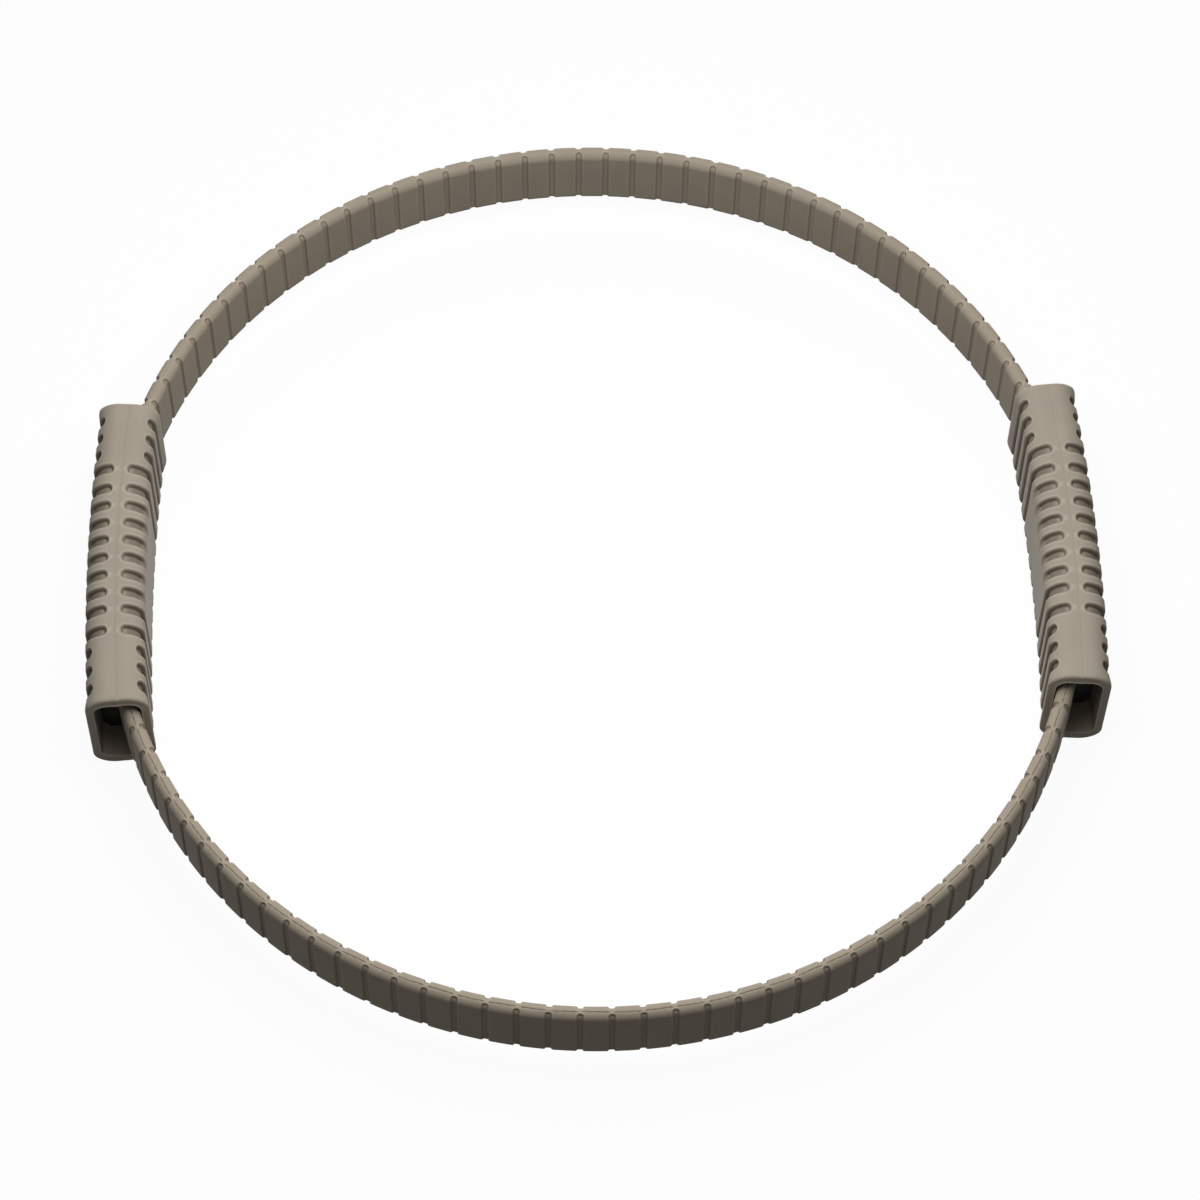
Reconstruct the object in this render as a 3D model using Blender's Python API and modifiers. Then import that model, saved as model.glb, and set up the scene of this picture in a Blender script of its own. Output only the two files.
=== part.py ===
"""Pilates ring: a spring-steel hoop in a ribbed silicone cover, with two soft grips.

The hoop is two like halves, front and rear. Each half is a flat steel strip in a
silicone cover. The bare strip ends lap inside each grip, where two halves of a hard
core clamp them with screws, and a silicone sleeve is drawn over the core.
The hoop bends at its grooves, so each half is cut at ten of them into lengths that
turn about upright axes. Lengths are in metres, +X runs from the left grip to the
right grip, +Y away from the front half, +Z up, and the grips stand on the ground.
"""

import math
from bisect import bisect_left

import bmesh
import bpy
from mathutils import Matrix, Vector

# Hoop, measured on the middle line of the band and seen from above
HOOP_WIDTH = 0.3515
HOOP_DEPTH = 0.3741
HOOP_FULLNESS = 0.0006
HOOP_STEPS = 4000

# Silicone cover of the band
BAND_THICKNESS = 0.00595
BAND_HEIGHT = 0.0264
BAND_EDGE_CUT = 0.0018
BAND_RIDGE_WIDTH = 0.0024
GROOVE_PITCH = 0.0107
GROOVE_WIDTH = 0.0024
GROOVE_FLOOR = 0.0016
GROOVE_DEPTH = 0.0008

# Steel strip inside the cover
STRIP_THICKNESS = 0.0012
STRIP_HEIGHT = 0.0200
STRIP_CLEARANCE = 0.0003
CHANNEL_OVERRUN = 0.0016

# Bending places: how many each half has, and the slit that lets them turn
FLEX_COUNT = 10
FLEX_GAP = 0.0009
FLEX_TO_GRIP = 0.0200

# Grip sleeve, a hollow moulding over the core
GRIP_LENGTH = 0.1290
GRIP_WIDTH = 0.0213
GRIP_HEIGHT = 0.0420
GRIP_BOW_RADIUS = 0.860
GRIP_CROWN_WIDTH = 0.0052
GRIP_CORNER = 0.0055
GRIP_CROWN_DROP = 0.0010
GRIP_SIDE_WALL = 0.0030
GRIP_TOP_WALL = 0.0038
GRIP_CAVITY_CORNER = 0.0034
GRIP_MOUTH_LENGTH = 0.0090
GRIP_RIM_CUT = 0.0006
GRIP_FLARE = 0.0006
GRIP_FLARE_LENGTH = 0.0040
GRIP_TO_BAND = 0.0003

# Grooves of the grip, from its middle to one end
GRIP_GROOVE_WIDTH = 0.0032
GRIP_GROOVE_DEPTH = 0.0013
GRIP_GROOVE_PITCH = 0.0075
GRIP_GROOVE_STEP = 0.0087
GRIP_MIDDLE_GROOVES = 4
GRIP_PANEL_GROOVES = 3

# Core of the grip, in two halves that part at the band
MOUTH_RECESS = 0.0125
CORE_END_WALL = 0.0018
CORE_HEAD_WALL = 0.0008
CORE_CORNER_RUN = 0.0024
CORE_CORNER_DROP = 0.0034
CORE_CLEARANCE = 0.0003
CORE_STEP = 0.0015
CORE_STATION = 0.0090
CAVITY_STATION = 0.0160

# Lap of the two strips inside each core, and its screws
LAP_HALF_LENGTH = 0.0220
LAP_JOGGLE = 0.0060
LAP_GAP = 0.0003
SCREW_SPACING = 0.0220
SCREW_DIAMETER = 0.0030
SCREW_TIP_WALL = 0.0034
SCREW_CLEARANCE = 0.0003
SCREW_HEAD_DIAMETER = 0.0056
SCREW_HEAD_HEIGHT = 0.0016
SCREW_HOLE_REACH = 0.0020
SCREW_SIDES = 12

# Colours of the finishes, with roughness and metallic value
FINISHES = {
    "cover_silicone": ((0.33, 0.29, 0.225), 0.62, 0.0),
    "grip_silicone": ((0.34, 0.30, 0.232), 0.60, 0.0),
    "core_plastic": ((0.018, 0.017, 0.019), 0.50, 0.0),
    "spring_steel": ((0.46, 0.47, 0.49), 0.38, 1.0),
    "screw_steel": ((0.62, 0.61, 0.59), 0.32, 1.0),
}

# Sizes that follow from those above
MIDDLE_Z = GRIP_HEIGHT / 2.0
CORE_HALF_LENGTH = GRIP_LENGTH / 2.0 - MOUTH_RECESS
CORE_HALF_WIDTH = GRIP_WIDTH / 2.0 - GRIP_SIDE_WALL - CORE_CLEARANCE
LAP_THICKNESS = 2.0 * STRIP_THICKNESS + LAP_GAP
SCREW_LENGTH = 2.0 * CORE_HALF_WIDTH - SCREW_CLEARANCE - SCREW_TIP_WALL

FRONT = -1.0
REAR = 1.0
LEFT = -1.0
RIGHT = 1.0


def clear_scene():
    """Remove whatever objects the file already holds."""
    for obj in list(bpy.data.objects):
        bpy.data.objects.remove(obj, do_unlink=True)


def new_collection(name):
    """Return a new collection in the scene."""
    collection = bpy.data.collections.new(name)
    bpy.context.scene.collection.children.link(collection)
    return collection


def make_material(name):
    """Return the named finish as a Principled material."""
    colour, roughness, metallic = FINISHES[name]
    material = bpy.data.materials.new(name)
    material.use_nodes = True
    shader = material.node_tree.nodes["Principled BSDF"]
    shader.inputs["Base Color"].default_value = (*colour, 1.0)
    shader.inputs["Roughness"].default_value = roughness
    shader.inputs["Metallic"].default_value = metallic
    material.diffuse_color = (*colour, 1.0)
    return material


class HoopPath:
    """Middle line of the band as the front half meets it, by length from the front centre.

    It runs once round the hoop, from the rear centre by the left grip, the front
    centre and the right grip, so that a strip can go on past the middle of a grip.
    """

    def __init__(self):
        """Lay out the oval."""
        mean = (HOOP_WIDTH + HOOP_DEPTH) / 4.0 + HOOP_FULLNESS
        oval = (HOOP_WIDTH - HOOP_DEPTH) / 4.0
        self.points = []
        for step in range(HOOP_STEPS + 1):
            angle = 2.0 * math.pi * step / HOOP_STEPS - math.pi / 2.0
            radius = mean + oval * math.cos(2.0 * angle) - HOOP_FULLNESS * math.cos(4.0 * angle)
            self.points.append(Vector((-radius * math.cos(angle), -radius * math.sin(angle), 0.0)))
        self.lengths = [0.0]
        for before, after in zip(self.points, self.points[1:]):
            self.lengths.append(self.lengths[-1] + (after - before).length)
        self.to_grip = self.lengths[-1] / 4.0

    def place(self, along):
        """Return the point, the forward direction and the outward one at a length."""
        wanted = along + self.lengths[-1] / 2.0
        index = min(max(bisect_left(self.lengths, wanted), 1), HOOP_STEPS)
        before = self.points[index - 1]
        after = self.points[index]
        share = (wanted - self.lengths[index - 1]) / (self.lengths[index] - self.lengths[index - 1])
        forward = (after - before).normalized()
        return before.lerp(after, share), forward, Vector((forward.y, -forward.x, 0.0))

    def at_depth(self, depth):
        """Return the length, near the right grip, at which the band lies this far forward."""
        low = 0.0
        high = 2.0 * self.to_grip
        while high - low > 1e-7:
            middle = (low + high) / 2.0
            if -self.place(middle)[0].y > depth:
                low = middle
            else:
                high = middle
        return low


PATH = HoopPath()


def band_point(side, along, outward_by, height):
    """Return a point of one half of the band, by length, offset outwards and height."""
    point, _, outward = PATH.place(along)
    place = point + outward * outward_by
    return Vector((place.x, place.y * -side, MIDDLE_Z + height))


def add_object(name, mesh, collection, material):
    """Return a mesh as an object in a collection, with its finish if it has one."""
    obj = bpy.data.objects.new(name, mesh)
    collection.objects.link(obj)
    if material is not None:
        mesh.materials.append(material)
    return obj


def loft(name, rings, closed, collection, material):
    """Make a solid from rings of points, with end faces unless it closes on itself."""
    form = bmesh.new()
    rows = []
    for ring in rings:
        rows.append([form.verts.new(point) for point in ring])
    pairs = list(zip(rows, rows[1:]))
    if closed:
        pairs.append((rows[-1], rows[0]))
    for here, there in pairs:
        for index in range(len(here)):
            after = (index + 1) % len(here)
            form.faces.new((here[index], here[after], there[after], there[index]))
    if not closed:
        form.faces.new(rows[0])
        form.faces.new(rows[-1])
    bmesh.ops.recalc_face_normals(form, faces=form.faces)
    mesh = bpy.data.meshes.new(name)
    form.to_mesh(mesh)
    form.free()
    return add_object(name, mesh, collection, material)


def cut(obj, cutter):
    """Cut a solid exactly with a cutter, which shows as wire and stays out of the picture."""
    cutter.display_type = "WIRE"
    cutter.hide_render = True
    modifier = obj.modifiers.new("cut_" + cutter.name, "BOOLEAN")
    modifier.operation = "DIFFERENCE"
    modifier.solver = "EXACT"
    modifier.object = cutter


def add_bend_axis(name, place, before, collection):
    """Add an empty on a bending place's axis, carried by the one before it."""
    axis = bpy.data.objects.new(name, None)
    axis.empty_display_type = "SINGLE_ARROW"
    axis.empty_display_size = GRIP_HEIGHT
    axis["place"] = place
    collection.objects.link(axis)
    axis.location = place
    if before is not None:
        axis.parent = before
        axis.location = place - Vector(before["place"])
    return axis


def hang(objects, axis):
    """Let objects turn with a bending place's axis, and leave them where they are."""
    for obj in objects:
        obj.parent = axis
        obj.matrix_parent_inverse = Matrix.Translation(-Vector(axis["place"]))


# Cover of the band

def cover_section(grooved):
    """Return the cover's section as offset and height pairs, whole or at a groove floor."""
    side = BAND_THICKNESS / 2.0 - (GROOVE_DEPTH if grooved else 0.0)
    ridge = BAND_RIDGE_WIDTH / 2.0
    top = BAND_HEIGHT / 2.0
    shoulder = top - BAND_EDGE_CUT
    return [
        (ridge, top), (side, shoulder), (side, -shoulder), (ridge, -top),
        (-ridge, -top), (-side, -shoulder), (-side, shoulder), (-ridge, top),
    ]


def cover_stations(start, end):
    """Return the lengths at which the section changes, each with whether it is grooved."""
    stations = [(start, in_groove(start))]
    first = math.floor(start / GROOVE_PITCH) - 1
    last = math.ceil(end / GROOVE_PITCH) + 1
    for number in range(first, last + 1):
        middle = number * GROOVE_PITCH
        for offset, grooved in (
            (-GROOVE_WIDTH / 2.0, False), (-GROOVE_FLOOR / 2.0, True),
            (GROOVE_FLOOR / 2.0, True), (GROOVE_WIDTH / 2.0, False),
        ):
            place = middle + offset
            if start < place < end:
                stations.append((place, grooved))
    stations.append((end, in_groove(end)))
    return stations


def in_groove(along):
    """Tell whether a length lies on the floor of a groove."""
    nearest = round(along / GROOVE_PITCH) * GROOVE_PITCH
    return abs(along - nearest) <= GROOVE_FLOOR / 2.0


def build_cover(name, side, start, end, parts, cutters, material):
    """Make one length of the cover and the cutter of the channel that holds its strip."""
    rings = []
    for along, grooved in cover_stations(start, end):
        rings.append([band_point(side, along, across, up) for across, up in cover_section(grooved)])
    cover = loft(name, rings, False, parts, material)
    width = STRIP_THICKNESS + 2.0 * STRIP_CLEARANCE
    height = STRIP_HEIGHT + 2.0 * STRIP_CLEARANCE
    channel = build_bar(
        name + "_channel", side, start - CHANNEL_OVERRUN, end + CHANNEL_OVERRUN, width, height, cutters, None
    )
    cut(cover, channel)
    return [cover, channel]


def extrude_plan(name, outline, height, collection, material):
    """Make an upright bar from its outline in plan, by extruding one face."""
    form = bmesh.new()
    base = form.faces.new([form.verts.new(point) for point in outline])
    raised = bmesh.ops.extrude_face_region(form, geom=[base])["geom"]
    bmesh.ops.translate(
        form, vec=(0.0, 0.0, height), verts=[item for item in raised if isinstance(item, bmesh.types.BMVert)]
    )
    bmesh.ops.recalc_face_normals(form, faces=form.faces)
    mesh = bpy.data.meshes.new(name)
    form.to_mesh(mesh)
    form.free()
    return add_object(name, mesh, collection, material)


def build_bar(name, side, start, end, thickness, height, collection, material):
    """Make a flat bar along the middle line of the band."""
    count = max(1, math.ceil((end - start) / GROOVE_PITCH))
    stops = [(start + (end - start) * step / count, 0.0) for step in range(count + 1)]
    return build_bent_bar(name, side, stops, thickness, height, collection, material)


def build_bent_bar(name, side, stops, thickness, height, collection, material):
    """Make a flat bar through stops, each a length and a shift outwards."""
    half = thickness / 2.0
    outside = [band_point(side, along, shift + half, -height / 2.0) for along, shift in stops]
    inside = [band_point(side, along, shift - half, -height / 2.0) for along, shift in stops]
    return extrude_plan(name, outside + inside[::-1], height, collection, material)


# Strip ends, lapped inside a grip

def lap_shift(from_middle, side):
    """Return how far a strip end stands off the middle line, for its lap.

    The front strip lies inside, towards the ring's centre, and the rear strip outside.
    """
    full = (STRIP_THICKNESS + LAP_GAP) / 2.0
    share = (LAP_HALF_LENGTH + LAP_JOGGLE - from_middle) / LAP_JOGGLE
    return full * side * min(max(share, 0.0), 1.0)


def build_strip_end(name, side, end, start, collection, material):
    """Make a strip's end length, from a bending place to past the middle of a grip."""
    joggle = PATH.to_grip - LAP_HALF_LENGTH - LAP_JOGGLE
    count = math.ceil((joggle - start) / GROOVE_PITCH)
    places = [start + (joggle - start) * step / count for step in range(count + 1)]
    half_screw = SCREW_SPACING / 2.0
    for offset in (-LAP_HALF_LENGTH, -half_screw, 0.0, half_screw, LAP_HALF_LENGTH):
        places.append(PATH.to_grip + offset)
    stops = [(along * end, lap_shift(PATH.to_grip - along, side)) for along in places]
    return build_bent_bar(name, side, stops, STRIP_THICKNESS, STRIP_HEIGHT, collection, material)


def screw_profile(spare):
    """Return a screw's outline, as radius and place along it, from its head to its tip.

    With a spare width it is the outline of the hole for the screw, open past the head.
    """
    shank = SCREW_DIAMETER / 2.0 + spare
    head = SCREW_HEAD_DIAMETER / 2.0 + spare
    seat = -SCREW_HEAD_HEIGHT - spare
    top = 0.0 if spare == 0.0 else SCREW_HOLE_REACH
    tip = -SCREW_LENGTH - spare
    return [(0.0, top), (head, top), (head, seat), (shank, seat), (shank, tip), (0.0, tip)]


def build_screw(name, spare, end, number, collection, material):
    """Turn a screw, or the hole for it, along X through the core's outer face."""
    profile = [(radius, 0.0, height) for radius, height in screw_profile(spare)]
    edges = [(index, index + 1) for index in range(len(profile) - 1)]
    mesh = bpy.data.meshes.new(name)
    mesh.from_pydata(profile, edges, [])
    obj = add_object(name, mesh, collection, material)
    turning = obj.modifiers.new("turning", "SCREW")
    turning.steps = SCREW_SIDES
    turning.render_steps = SCREW_SIDES
    turning.use_merge_vertices = True
    turning.merge_threshold = 0.00001
    depth = (number - 0.5) * SCREW_SPACING
    obj.rotation_euler = (0.0, end * math.pi / 2.0, 0.0)
    obj.location = (end * (core_side(depth, 1.0) - SCREW_CLEARANCE), depth, MIDDLE_Z)
    return obj


# Grips

def quarter_section(half_width, half_height, corner, drop, crown):
    """Return four points of a quarter section, from the crown to the side."""
    centre_x = half_width - corner
    centre_z = half_height - drop - corner
    points = [(crown, half_height)]
    for degrees in (72.0, 36.0, 0.0):
        angle = math.radians(degrees)
        points.append((centre_x + corner * math.cos(angle), centre_z + corner * math.sin(angle)))
    return points


def whole_section(quarter):
    """Mirror a quarter section twice, as a loop round the grip."""
    right_up = quarter
    right_down = [(x, -z) for x, z in reversed(quarter)]
    left_down = [(-x, -z) for x, z in quarter]
    left_up = [(-x, z) for x, z in reversed(quarter)]
    return right_up + right_down + left_down + left_up


def groove_masks(kind):
    """Return how deep a grip groove is at each of the four points of a quarter.

    A panel groove stops below the corner, so that the side keeps a bare panel.
    """
    masks = {
        "none": (0.0, 0.0, 0.0, 0.0),
        "panel": (0.0, 1.0, 1.0, 0.0),
        "long": (0.0, 1.0, 1.0, 1.0),
        "short": (0.0, 0.0, 1.0, 1.0),
    }
    return masks[kind]


def grip_quarter(kind, flare, inset):
    """Return the grip's outer quarter section, with groove, flare and rim rounding."""
    half_width = GRIP_WIDTH / 2.0 + flare - inset
    half_height = GRIP_HEIGHT / 2.0 - inset
    crown = GRIP_CROWN_WIDTH / 2.0
    plain = quarter_section(half_width, half_height, GRIP_CORNER, GRIP_CROWN_DROP, crown)
    centre = Vector((half_width - GRIP_CORNER, half_height - GRIP_CROWN_DROP - GRIP_CORNER))
    points = []
    for (x, z), mask in zip(plain, groove_masks(kind)):
        inward = (centre - Vector((x, z))).normalized() * GRIP_GROOVE_DEPTH * mask
        points.append((x + inward.x, z + inward.y))
    return points


def cavity_quarter(ease, widen):
    """Return the quarter section of the grip's cavity, eased and widened at its mouths."""
    half_width = GRIP_WIDTH / 2.0 - GRIP_SIDE_WALL + ease + widen
    half_height = GRIP_HEIGHT / 2.0 - GRIP_TOP_WALL + widen
    crown = GRIP_CROWN_WIDTH / 2.0 * half_width / (GRIP_WIDTH / 2.0)
    return quarter_section(half_width, half_height, GRIP_CAVITY_CORNER, 0.0, crown)


def grip_groove_places():
    """Return the places of the grip's grooves along it, each with its kind.

    The short ones, from the last long one to the flare, are as many as there is room for.
    """
    places = []
    for number in range(GRIP_MIDDLE_GROOVES):
        kind = "panel" if number < GRIP_PANEL_GROOVES else "long"
        places.append(((number + 0.5) * GRIP_GROOVE_PITCH, kind))
    last = places[-1][0] + GRIP_GROOVE_STEP
    places.append((last, "long"))
    room = GRIP_LENGTH / 2.0 - GRIP_FLARE_LENGTH - GRIP_GROOVE_WIDTH / 2.0 - last
    for number in range(math.floor(room / GRIP_GROOVE_PITCH)):
        places.append((last + (number + 1) * GRIP_GROOVE_PITCH, "short"))
    return [(-place, kind) for place, kind in reversed(places)] + places


def slot_face(depth, thickness, way):
    """Return how far out the core's slot reaches, outwards (way 1) or to the ring (way -1)."""
    point, _, outward = PATH.place(PATH.at_depth(depth))
    return point.x + way * (thickness / 2.0 + CORE_CLEARANCE) / outward.x


def grip_bow_radius():
    """Return the radius of the grip's bow.

    It is tighter than its named size only where the grip is too narrow for its core
    to keep a wall inside the slot at its ends and a screw head outside it in the middle.
    """
    inside = slot_face(CORE_HALF_LENGTH, BAND_THICKNESS, -1.0) - CORE_END_WALL
    head = SCREW_HEAD_HEIGHT + 2.0 * SCREW_CLEARANCE + CORE_HEAD_WALL
    bow = slot_face(0.0, LAP_THICKNESS, 1.0) + head - inside - 2.0 * CORE_HALF_WIDTH
    if bow <= 0.0:
        return GRIP_BOW_RADIUS
    return min(GRIP_BOW_RADIUS, (CORE_HALF_LENGTH ** 2 + bow ** 2) / (2.0 * bow))


BOW_RADIUS = grip_bow_radius()


def grip_bow(depth):
    """Return how far the grip's centre line falls back from its middle at a depth."""
    return BOW_RADIUS - math.sqrt(BOW_RADIUS ** 2 - depth ** 2)


def grip_middle_x():
    """Return how far out the grip's middle lies, by its core's wall at the slot's ends."""
    slot_end = slot_face(CORE_HALF_LENGTH, BAND_THICKNESS, -1.0)
    return slot_end - CORE_END_WALL + CORE_HALF_WIDTH + grip_bow(CORE_HALF_LENGTH)


MIDDLE_X = grip_middle_x()


def mouth_ease():
    """Return how much wider than at the core the cavity is at a mouth, each way.

    The ring side of the mouth lies close to the band, which passes it there.
    """
    mouth = GRIP_LENGTH / 2.0
    point, _, outward = PATH.place(PATH.at_depth(mouth))
    band_face = point.x - BAND_THICKNESS / 2.0 / outward.x
    ring_side = MIDDLE_X - grip_bow(mouth) - GRIP_WIDTH / 2.0
    return GRIP_SIDE_WALL - (band_face - GRIP_TO_BAND - ring_side)


MOUTH_EASE = mouth_ease()


def grip_ring(end, along, section):
    """Place a section of the grip on its bowed centre line."""
    angle = along / BOW_RADIUS
    outward = Vector((math.cos(angle), math.sin(angle), 0.0))
    centre = Vector((MIDDLE_X - BOW_RADIUS, 0.0, MIDDLE_Z)) + outward * BOW_RADIUS
    ring = []
    for across, up in section:
        point = centre + outward * across + Vector((0.0, 0.0, up))
        ring.append(Vector((point.x * end, point.y, point.z)))
    return ring


def build_grip(name, end, collection, material):
    """Make one hollow grip with its grooves, flared mouths and rounded rims."""
    half = GRIP_LENGTH / 2.0
    stations = []
    for place, kind in grip_groove_places():
        stations.append((place - GRIP_GROOVE_WIDTH / 2.0, "none", 0.0, 0.0))
        stations.append((place, kind, 0.0, 0.0))
        stations.append((place + GRIP_GROOVE_WIDTH / 2.0, "none", 0.0, 0.0))
    for sign in (-1.0, 1.0):
        stations.append((sign * (half - GRIP_FLARE_LENGTH), "none", 0.0, 0.0))
        stations.append((sign * (half - GRIP_RIM_CUT), "none", GRIP_FLARE, 0.0))
        stations.append((sign * half, "none", GRIP_FLARE, GRIP_RIM_CUT))
    stations.sort()
    rings = []
    for along, kind, flare, inset in stations:
        rings.append(grip_ring(end, along, whole_section(grip_quarter(kind, flare, inset))))
    slant = CORE_HALF_WIDTH * CORE_HALF_LENGTH / BOW_RADIUS
    core = CORE_HALF_LENGTH + CORE_CLEARANCE + slant
    inner = [
        (half, MOUTH_EASE, GRIP_RIM_CUT), (half - GRIP_RIM_CUT, MOUTH_EASE, 0.0),
        (half - GRIP_MOUTH_LENGTH, MOUTH_EASE, 0.0),
    ]
    out = [(-along, ease, widen) for along, ease, widen in reversed(inner)]
    count = math.ceil(2.0 * core / CAVITY_STATION)
    inner += [(core - 2.0 * core * step / count, 0.0, 0.0) for step in range(count + 1)]
    inner += out
    for along, ease, widen in inner:
        rings.append(grip_ring(end, along, whole_section(cavity_quarter(ease, widen))))
    return loft(name, rings, True, collection, material)


# Core of a grip

def core_side(depth, way):
    """Return how far out the core's outer (way 1) or ring-side (way -1) face lies."""
    return MIDDLE_X - grip_bow(depth) + way * CORE_HALF_WIDTH


def core_ring(end, depth, way, recess_width, recess_height):
    """Return the section of one core half, with its share of the slot for the band."""
    point, _, outward = PATH.place(PATH.at_depth(-depth))
    inner = point.x + way * CORE_CLEARANCE / 2.0 / outward.x
    recess = slot_face(-depth, recess_width, way)
    outer = core_side(depth, way)
    corner = outer - way * CORE_CORNER_RUN
    top = GRIP_HEIGHT / 2.0 - GRIP_TOP_WALL - CORE_CLEARANCE
    shoulder = top - CORE_CORNER_DROP
    slot = recess_height / 2.0 + CORE_CLEARANCE
    outline = [
        (inner, top), (corner, top), (outer, shoulder), (outer, -shoulder), (corner, -top),
        (inner, -top), (inner, -slot), (recess, -slot), (recess, slot), (inner, slot),
    ]
    return [Vector((end * x, depth, MIDDLE_Z + z)) for x, z in outline]


def build_core_half(name, end, way, collection, material):
    """Make one half of a grip's core, with a wide slot at its ends and a narrow one between."""
    half = CORE_HALF_LENGTH
    stop = -PATH.place(PATH.to_grip - LAP_HALF_LENGTH - LAP_JOGGLE)[0].y - CORE_CLEARANCE
    wide = (BAND_THICKNESS, BAND_HEIGHT)
    narrow = (LAP_THICKNESS, STRIP_HEIGHT)
    stations = [(half, wide), ((half + stop) / 2.0, wide), (stop, wide)]
    count = math.ceil((stop - CORE_STEP) / CORE_STATION)
    for step in range(count + 1):
        stations.append(((stop - CORE_STEP) * (1.0 - step / count), narrow))
    stations += [(-depth, slot) for depth, slot in reversed(stations[:-1])]
    rings = [core_ring(end, depth, way, *slot) for depth, slot in stations]
    return loft(name, rings, False, collection, material)


# Bending places

def flex_grooves():
    """Return the groove numbers that one half bends at, from left to right."""
    free = PATH.at_depth(GRIP_LENGTH / 2.0) - FLEX_TO_GRIP
    reach = math.floor(free / GROOVE_PITCH)
    half = FLEX_COUNT // 2
    right = [round((number + 0.5) / (half - 0.5) * reach) for number in range(half)]
    return [-number for number in reversed(right)] + right


def flex_ratios(places):
    """Return how far each place turns for one turn of the first.

    The hoop bends as a sprung ring that is pressed at its grips: by the lever of the
    press about each place, less the mean that keeps both grips square to each other.
    """
    levers = []
    for along in places:
        point = PATH.place(along)[0]
        levers.append(abs(point.y) / point.length)
    mean = sum(levers) / len(levers)
    turns = [mean - lever for lever in levers]
    return [turn / turns[0] for turn in turns]


def build_half(label, side, parts, cutters, finishes):
    """Make one half of the hoop, cut into lengths at its bending places.

    Returns its last axis, which carries the half's right end.
    """
    places = [number * GROOVE_PITCH for number in flex_grooves()]
    gap = FLEX_GAP / 2.0
    axes = []
    for number, along in enumerate(places, 1):
        before = axes[-1] if axes else None
        name = "%s_bend_%02d" % (label, number)
        axes.append(add_bend_axis(name, band_point(side, along, 0.0, 0.0), before, parts))
    for number, (start, end) in enumerate(zip(places, places[1:]), 1):
        pieces = build_cover(
            "%s_cover_%02d" % (label, number), side, start + gap, end - gap,
            parts, cutters, finishes["cover_silicone"]
        )
        pieces.append(build_bar(
            "%s_strip_%02d" % (label, number), side, start + gap, end - gap,
            STRIP_THICKNESS, STRIP_HEIGHT, parts, finishes["spring_steel"]
        ))
        hang(pieces, axes[number - 1])
    build_half_end(label, "left", side, LEFT, places[-1] + gap, parts, cutters, finishes)
    right_end = build_half_end(label, "right", side, RIGHT, places[-1] + gap, parts, cutters, finishes)
    hang(right_end, axes[-1])
    return axes[-1]


def build_half_end(label, word, side, end, start, parts, cutters, finishes):
    """Make the end of a half, from its last bending place into a grip."""
    stop = PATH.to_grip - LAP_HALF_LENGTH - LAP_JOGGLE
    pieces = build_cover(
        "%s_cover_%s_end" % (label, word), side, min(end * start, end * stop),
        max(end * start, end * stop), parts, cutters, finishes["cover_silicone"]
    )
    strip = build_strip_end(
        "%s_strip_%s_end" % (label, word), side, end, start, parts, finishes["spring_steel"]
    )
    return pieces + [strip] + cut_screw_holes(strip, end, cutters)


def cut_screw_holes(obj, end, cutters):
    """Cut the holes for a grip's two screws, and return their cutters."""
    holes = []
    for number in (0, 1):
        name = "%s_hole_%d" % (obj.name, number + 1)
        holes.append(build_screw(name, SCREW_CLEARANCE, end, number, cutters, None))
        cut(obj, holes[-1])
    return holes


def build_whole_grip(word, end, parts, cutters, finishes):
    """Make one grip: its sleeve, the two halves of its core and its screws."""
    pieces = [build_grip(word + "_grip", end, parts, finishes["grip_silicone"])]
    for half, way in (("inner", -1.0), ("outer", 1.0)):
        core = build_core_half("%s_core_%s" % (word, half), end, way, parts, finishes["core_plastic"])
        pieces += [core] + cut_screw_holes(core, end, cutters)
    for number in (0, 1):
        name = "%s_screw_%d" % (word, number + 1)
        pieces.append(build_screw(name, 0.0, end, number, parts, finishes["screw_steel"]))
    return pieces


def print_joints():
    """Print the bending places and their ratios."""
    places = [number * GROOVE_PITCH for number in flex_grooves()]
    for label, side in (("front", FRONT), ("rear", REAR)):
        for number, (along, ratio) in enumerate(zip(places, flex_ratios(places)), 1):
            point = band_point(side, along, 0.0, 0.0)
            print("bend %s %02d at %.5f %.5f ratio %.6f" % (label, number, point.x, point.y, ratio))
    print("grip middle x %.5f" % MIDDLE_X)


def main():
    """Build the ring."""
    clear_scene()
    parts = new_collection("pilates_ring")
    cutters = new_collection("cutters")
    finishes = {name: make_material(name) for name in FINISHES}
    right_axis = build_half("front", FRONT, parts, cutters, finishes)
    build_half("rear", REAR, parts, cutters, finishes)
    build_whole_grip("left", LEFT, parts, cutters, finishes)
    hang(build_whole_grip("right", RIGHT, parts, cutters, finishes), right_axis)
    print_joints()


main()
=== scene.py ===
"""Pilates ring, dressed for its picture.

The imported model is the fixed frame. The silicone covers of the hoop and the two grip
sleeves are modelled here with their grooves, round lips and parting lines, and stand for
the plain solids. The cores, strips and screws keep their shapes and get their finishes.
Lengths are in metres. +X runs from the left grip to the right one, +Y away from the
viewer, +Z up, and the grips stand on the floor.
"""

import logging
import math
from collections.abc import Callable, Iterator
from contextlib import contextmanager
from dataclasses import dataclass, field
from enum import Enum

import bmesh
import bpy
import numpy as np
from mathutils import Matrix, Vector


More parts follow.
